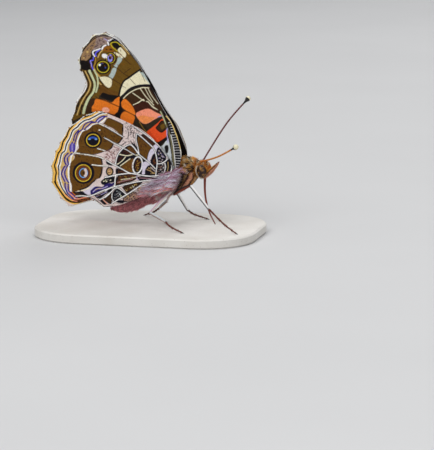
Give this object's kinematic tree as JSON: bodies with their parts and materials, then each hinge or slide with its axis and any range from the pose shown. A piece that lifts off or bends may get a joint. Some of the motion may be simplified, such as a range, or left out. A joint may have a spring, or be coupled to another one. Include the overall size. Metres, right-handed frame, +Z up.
{
  "type": "painted lady butterfly",
  "caption": "Life-size painted lady butterfly with closed scalloped wings, feelers spread and tongue lowered, standing on a thin plate with rounded corners.",
  "frame": {"origin": "middle of the plate's underside, which is the bottom of the whole part", "axes": "+X forwards, from the wings to the head; +Y to the butterfly's left; +Z up"},
  "size_m": [0.038, 0.026, 0.0339],
  "materials": {
    "wing": "matt scales, brown, cream, orange and black",
    "hair": "dense tawny hair",
    "abdomen": "short pale hair",
    "eye": "glossy, finely facetted",
    "horn": "satin dark brown horn",
    "leg": "pale scaled horn",
    "plate": "satin pale"
  },
  "bodies": {
    "root": {"stand_base": "plate", "thorax": "hair", "abdomen": "abdomen", "head": "hair", "proboscis": "horn", "eye_left": "eye", "antenna_left": "horn", "palp_left": "hair", "foreleg_left": "leg", "forewing_left": "wing", "hindwing_left": "wing", "midleg_left_femur": "leg", "midleg_left_tibia": "leg", "midleg_left_tarsus": "leg", "hindleg_left_femur": "leg", "hindleg_left_tibia": "leg", "hindleg_left_tarsus": "leg", "eye_right": "eye", "antenna_right": "horn", "palp_right": "hair", "foreleg_right": "leg", "forewing_right": "wing", "hindwing_right": "wing", "midleg_right_femur": "leg", "midleg_right_tibia": "leg", "midleg_right_tarsus": "leg", "hindleg_right_femur": "leg", "hindleg_right_tibia": "leg", "hindleg_right_tarsus": "leg"}
  },
  "joints": []
}
